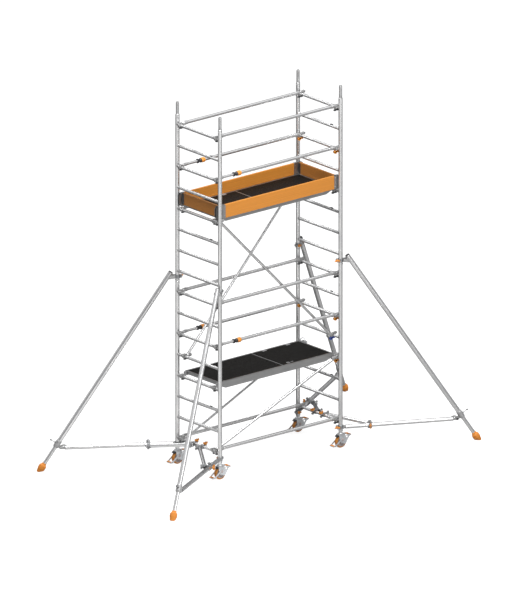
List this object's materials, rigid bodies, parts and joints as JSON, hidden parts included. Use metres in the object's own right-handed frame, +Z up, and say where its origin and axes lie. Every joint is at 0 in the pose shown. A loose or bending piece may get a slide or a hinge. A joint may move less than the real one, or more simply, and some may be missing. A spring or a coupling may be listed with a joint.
{
  "type": "mobile tower scaffold",
  "caption": "Mobile access tower of ladder frames on braked castors, with hatch decks, toe boards, guardrails, diagonal braces and telescopic outriggers.",
  "frame": {"origin": "on the ground, under the centre of the bay between the two end frames", "axes": "+X along the bay to the right-hand frame, +Y across the frames to the back, +Z up"},
  "size_m": [4.6588, 2.43, 4.3396],
  "materials": {
    "frame_aluminium": "satin",
    "rail_aluminium": "satin",
    "deck_aluminium": "satin",
    "outrigger_aluminium": "satin",
    "galvanised_steel": "satin",
    "castor_tyre": "satin",
    "orange_plastic": "satin",
    "phenolic_plywood": "matte",
    "orange_board": "satin"
  },
  "bodies": {
    "root": {"lower_frame_left": "frame_aluminium", "lower_frame_right": "frame_aluminium", "upper_frame_left": "frame_aluminium", "upper_frame_right": "frame_aluminium", "guardrail_upper_front": "rail_aluminium", "guardrail_upper_back": "rail_aluminium", "guardrail_lower_front": "rail_aluminium", "guardrail_lower_back": "rail_aluminium", "base_rail_front": "rail_aluminium", "base_rail_back": "rail_aluminium", "telescopic_rail_upper_front": "rail_aluminium", "telescopic_rail_upper_back": "rail_aluminium", "telescopic_rail_lower_front": "rail_aluminium", "telescopic_rail_lower_back": "rail_aluminium", "diagonal_upper_front": "rail_aluminium", "diagonal_upper_back": "rail_aluminium", "diagonal_lower_front": "rail_aluminium", "diagonal_lower_back": "rail_aluminium", "deck_frame_lower": "deck_aluminium", "deck_frame_upper": "deck_aluminium", "deck_board_lower": "phenolic_plywood", "deck_board_upper": "phenolic_plywood", "toe_board_front": "orange_board", "toe_board_back": "orange_board", "toe_board_left": "orange_board", "toe_board_right": "orange_board"},
    "castor_front_left": {"castor_fork_front_left": "galvanised_steel"},
    "wheel_front_left": {"castor_wheel_front_left": "castor_tyre"},
    "brake_front_left": {"brake_pedal_front_left": "orange_plastic"},
    "outrigger_front_left": {"outrigger_leg_front_left": "outrigger_aluminium", "outrigger_strut_front_left": "outrigger_aluminium", "outrigger_stay_front_left": "outrigger_aluminium"},
    "outrigger_foot_front_left": {"outrigger_foot_front_left": "outrigger_aluminium"},
    "castor_front_right": {"castor_fork_front_right": "galvanised_steel"},
    "wheel_front_right": {"castor_wheel_front_right": "castor_tyre"},
    "brake_front_right": {"brake_pedal_front_right": "orange_plastic"},
    "outrigger_front_right": {"outrigger_leg_front_right": "outrigger_aluminium", "outrigger_strut_front_right": "outrigger_aluminium", "outrigger_stay_front_right": "outrigger_aluminium"},
    "outrigger_foot_front_right": {"outrigger_foot_front_right": "outrigger_aluminium"},
    "castor_back_left": {"castor_fork_back_left": "galvanised_steel"},
    "wheel_back_left": {"castor_wheel_back_left": "castor_tyre"},
    "brake_back_left": {"brake_pedal_back_left": "orange_plastic"},
    "outrigger_back_left": {"outrigger_leg_back_left": "outrigger_aluminium", "outrigger_strut_back_left": "outrigger_aluminium", "outrigger_stay_back_left": "outrigger_aluminium"},
    "outrigger_foot_back_left": {"outrigger_foot_back_left": "outrigger_aluminium"},
    "castor_back_right": {"castor_fork_back_right": "galvanised_steel"},
    "wheel_back_right": {"castor_wheel_back_right": "castor_tyre"},
    "brake_back_right": {"brake_pedal_back_right": "orange_plastic"},
    "outrigger_back_right": {"outrigger_leg_back_right": "outrigger_aluminium", "outrigger_strut_back_right": "outrigger_aluminium", "outrigger_stay_back_right": "outrigger_aluminium"},
    "outrigger_foot_back_right": {"outrigger_foot_back_right": "outrigger_aluminium"},
    "hatch_lower": {"hatch_lower": "phenolic_plywood"},
    "hatch_upper": {"hatch_upper": "phenolic_plywood"},
    "twist_lock_upper_front": {"twist_lock_upper_front": "orange_plastic"},
    "twist_lock_upper_back": {"twist_lock_upper_back": "orange_plastic"},
    "twist_lock_lower_front": {"twist_lock_lower_front": "orange_plastic"},
    "twist_lock_lower_back": {"twist_lock_lower_back": "orange_plastic"}
  },
  "joints": [
    {"name": "castor_swivel_front_left", "type": "hinge", "parent": "root", "child": "castor_front_left", "pos_m": [-0.9, -0.375, 0.19], "axis": [0, 0, 1], "continuous": true},
    {"name": "wheel_roll_front_left", "type": "hinge", "parent": "castor_front_left", "child": "wheel_front_left", "pos_m": [-0.9, -0.375, 0.075], "axis": [0, 1, 0], "continuous": true},
    {"name": "brake_lever_front_left", "type": "hinge", "parent": "castor_front_left", "child": "brake_front_left", "pos_m": [-0.9, -0.375, 0.1], "axis": [0, 1, 0], "range_deg": [0, 14]},
    {"name": "outrigger_swing_front_left", "type": "hinge", "parent": "root", "child": "outrigger_front_left", "pos_m": [-0.9, -0.375, 0.245], "axis": [0, 0, 1], "range_deg": [0, 60]},
    {"name": "outrigger_telescope_front_left", "type": "slide", "parent": "outrigger_front_left", "child": "outrigger_foot_front_left", "axis": [-0.4781, -0.276, -0.8338], "range_m": [-0.2, 0.3]},
    {"name": "castor_swivel_front_right", "type": "hinge", "parent": "root", "child": "castor_front_right", "pos_m": [0.9, -0.375, 0.19], "axis": [0, 0, 1], "continuous": true},
    {"name": "wheel_roll_front_right", "type": "hinge", "parent": "castor_front_right", "child": "wheel_front_right", "pos_m": [0.9, -0.375, 0.075], "axis": [0, 1, 0], "continuous": true},
    {"name": "brake_lever_front_right", "type": "hinge", "parent": "castor_front_right", "child": "brake_front_right", "pos_m": [0.9, -0.375, 0.1], "axis": [0, 1, 0], "range_deg": [0, 14]},
    {"name": "outrigger_swing_front_right", "type": "hinge", "parent": "root", "child": "outrigger_front_right", "pos_m": [0.9, -0.375, 0.245], "axis": [0, 0, -1], "range_deg": [0, 60]},
    {"name": "outrigger_telescope_front_right", "type": "slide", "parent": "outrigger_front_right", "child": "outrigger_foot_front_right", "axis": [0.4781, -0.276, -0.8338], "range_m": [-0.2, 0.3]},
    {"name": "castor_swivel_back_left", "type": "hinge", "parent": "root", "child": "castor_back_left", "pos_m": [-0.9, 0.375, 0.19], "axis": [0, 0, 1], "continuous": true},
    {"name": "wheel_roll_back_left", "type": "hinge", "parent": "castor_back_left", "child": "wheel_back_left", "pos_m": [-0.9, 0.375, 0.075], "axis": [0, 1, 0], "continuous": true},
    {"name": "brake_lever_back_left", "type": "hinge", "parent": "castor_back_left", "child": "brake_back_left", "pos_m": [-0.9, 0.375, 0.1], "axis": [0, 1, 0], "range_deg": [0, 14]},
    {"name": "outrigger_swing_back_left", "type": "hinge", "parent": "root", "child": "outrigger_back_left", "pos_m": [-0.9, 0.375, 0.245], "axis": [0, 0, -1], "range_deg": [0, 60]},
    {"name": "outrigger_telescope_back_left", "type": "slide", "parent": "outrigger_back_left", "child": "outrigger_foot_back_left", "axis": [-0.4781, 0.276, -0.8338], "range_m": [-0.2, 0.3]},
    {"name": "castor_swivel_back_right", "type": "hinge", "parent": "root", "child": "castor_back_right", "pos_m": [0.9, 0.375, 0.19], "axis": [0, 0, 1], "continuous": true},
    {"name": "wheel_roll_back_right", "type": "hinge", "parent": "castor_back_right", "child": "wheel_back_right", "pos_m": [0.9, 0.375, 0.075], "axis": [0, 1, 0], "continuous": true},
    {"name": "brake_lever_back_right", "type": "hinge", "parent": "castor_back_right", "child": "brake_back_right", "pos_m": [0.9, 0.375, 0.1], "axis": [0, 1, 0], "range_deg": [0, 14]},
    {"name": "outrigger_swing_back_right", "type": "hinge", "parent": "root", "child": "outrigger_back_right", "pos_m": [0.9, 0.375, 0.245], "axis": [0, 0, 1], "range_deg": [0, 60]},
    {"name": "outrigger_telescope_back_right", "type": "slide", "parent": "outrigger_back_right", "child": "outrigger_foot_back_right", "axis": [0.4781, 0.276, -0.8338], "range_m": [-0.2, 0.3]},
    {"name": "hatch_lower_lift", "type": "hinge", "parent": "root", "child": "hatch_lower", "pos_m": [0, 0.2735, 1.1265], "axis": [-1, 0, 0], "range_deg": [0, 90]},
    {"name": "hatch_upper_lift", "type": "hinge", "parent": "root", "child": "hatch_upper", "pos_m": [0, 0.2735, 3.1265], "axis": [-1, 0, 0], "range_deg": [0, 90]},
    {"name": "twist_lock_upper_front_turn", "type": "hinge", "parent": "root", "child": "twist_lock_upper_front", "pos_m": [-0.572, -0.318, 3.587], "axis": [1, 0, 0], "range_deg": [0, 90]},
    {"name": "twist_lock_upper_back_turn", "type": "hinge", "parent": "root", "child": "twist_lock_upper_back", "pos_m": [-0.572, 0.318, 3.587], "axis": [1, 0, 0], "range_deg": [0, 90]},
    {"name": "twist_lock_lower_front_turn", "type": "hinge", "parent": "root", "child": "twist_lock_lower_front", "pos_m": [-0.572, -0.318, 1.587], "axis": [1, 0, 0], "range_deg": [0, 90]},
    {"name": "twist_lock_lower_back_turn", "type": "hinge", "parent": "root", "child": "twist_lock_lower_back", "pos_m": [-0.572, 0.318, 1.587], "axis": [1, 0, 0], "range_deg": [0, 90]}
  ]
}
